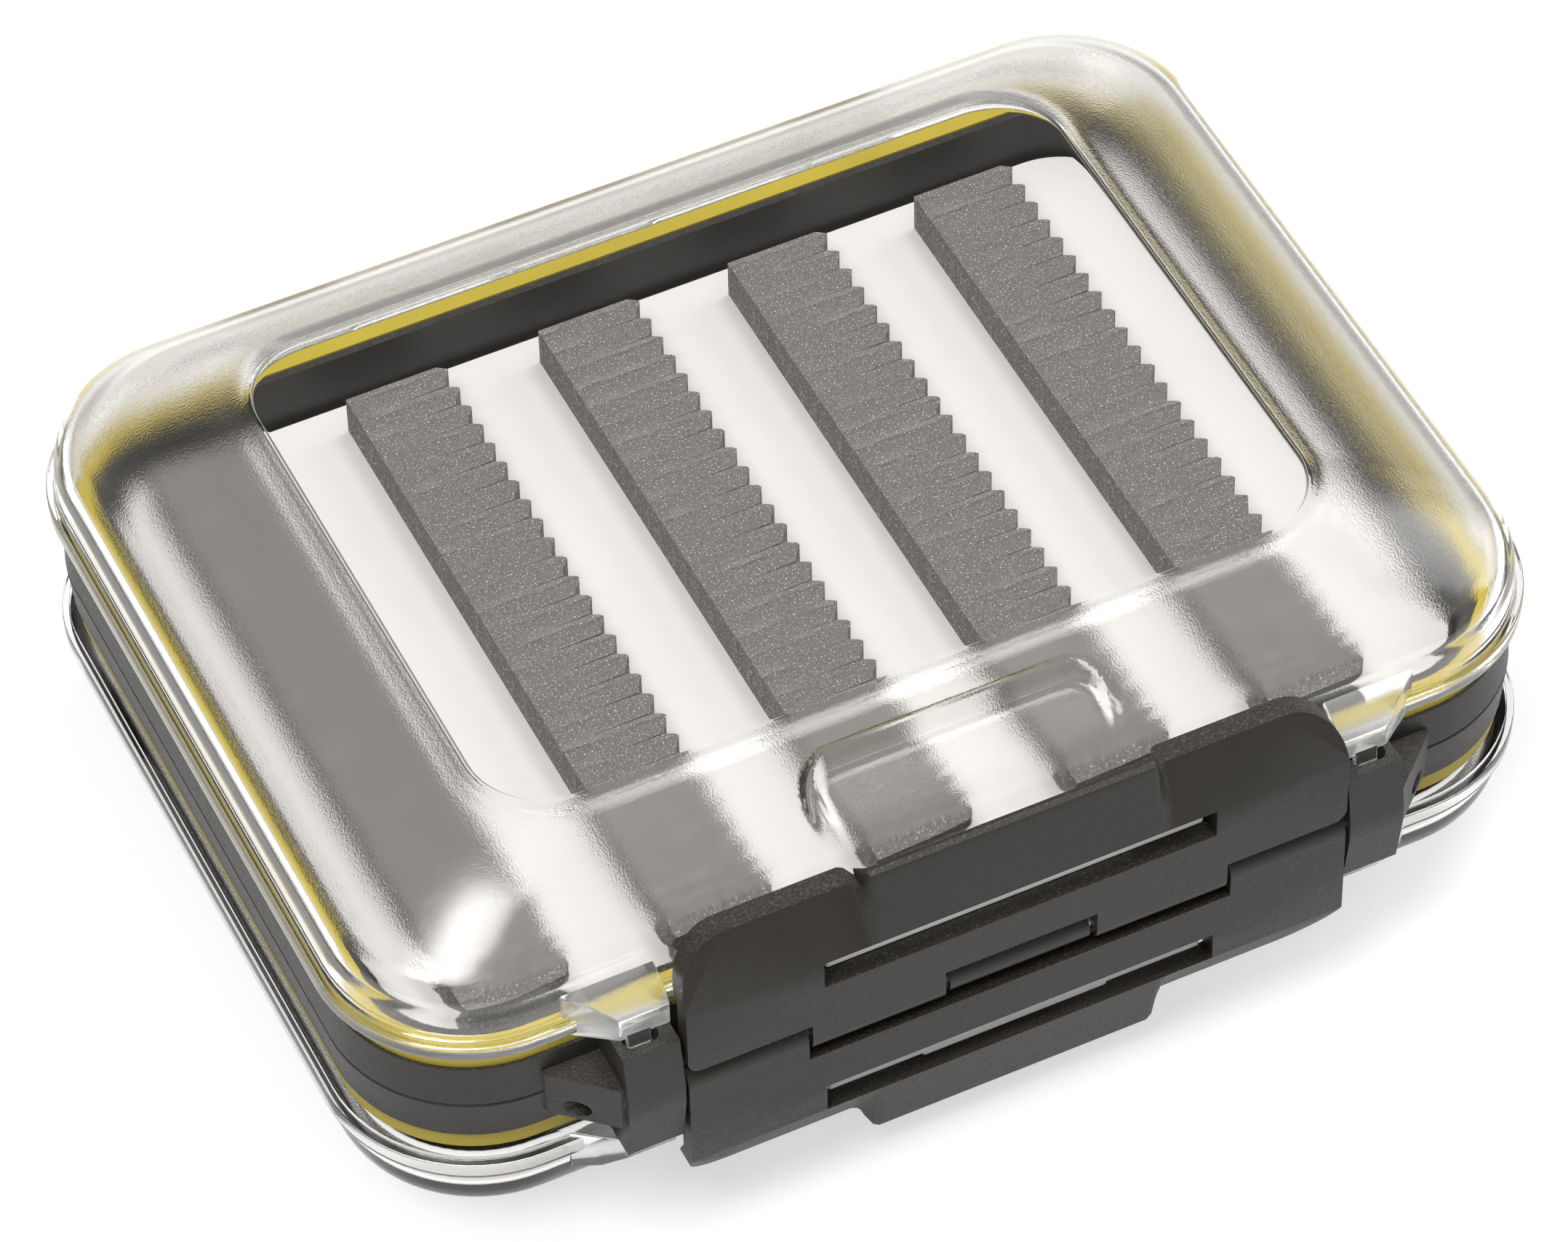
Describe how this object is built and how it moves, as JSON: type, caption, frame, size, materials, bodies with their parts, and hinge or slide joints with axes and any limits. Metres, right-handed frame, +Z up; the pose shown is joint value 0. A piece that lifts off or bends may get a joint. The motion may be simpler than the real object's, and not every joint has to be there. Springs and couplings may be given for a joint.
{
  "type": "double-sided fly box",
  "caption": "Flat double-sided case for fishing flies: two clear domed lids hinged on a dark tray frame, a wide snap latch for each, yellow seals and slit foam strips.",
  "frame": {"origin": "middle of the footprint, on the flat crest of the lower lid that the box stands on", "axes": "+X along the long side, +Y from the latches to the hinges, +Z up through the upper lid"},
  "size_m": [0.128, 0.1055, 0.0458],
  "materials": {
    "frame": "fine moulded grain",
    "latch": "fine moulded grain",
    "clear_lid": "clear and glossy, with a frosted border around the window",
    "gasket": "smooth, satin",
    "insert": "smooth",
    "foam": "fine closed-cell foam",
    "pin": "drawn wire"
  },
  "bodies": {
    "frame": {"upper_frame": "frame", "lower_frame": "frame", "upper_gasket": "gasket", "lower_gasket": "gasket", "upper_insert": "insert", "lower_insert": "insert", "upper_hinge_pin": "pin", "lower_hinge_pin": "pin", "latch_pin": "pin", "upper_foam_1": "foam", "upper_foam_2": "foam", "upper_foam_3": "foam", "upper_foam_4": "foam", "upper_foam_5": "foam", "lower_foam_1": "foam", "lower_foam_2": "foam", "lower_foam_3": "foam", "lower_foam_4": "foam", "lower_foam_5": "foam"},
    "upper_lid": {"upper_lid": "clear_lid"},
    "lower_lid": {"lower_lid": "clear_lid"},
    "upper_latch": {"upper_latch": "latch"},
    "lower_latch": {"lower_latch": "latch"}
  },
  "joints": [
    {"name": "upper_lid_hinge", "type": "hinge", "parent": "frame", "child": "upper_lid", "pos_m": [0, 0.05, 0.0273], "axis": [-1, 0, 0], "range_deg": [0, 110]},
    {"name": "lower_lid_hinge", "type": "hinge", "parent": "frame", "child": "lower_lid", "pos_m": [0, 0.05, 0.0185], "axis": [1, 0, 0], "range_deg": [0, 110]},
    {"name": "upper_latch_swing", "type": "hinge", "parent": "frame", "child": "upper_latch", "pos_m": [0, -0.0512, 0.0229], "axis": [1, 0, 0], "range_deg": [0, 45]},
    {"name": "lower_latch_swing", "type": "hinge", "parent": "frame", "child": "lower_latch", "pos_m": [0, -0.0512, 0.0229], "axis": [-1, 0, 0], "range_deg": [0, 45]}
  ]
}
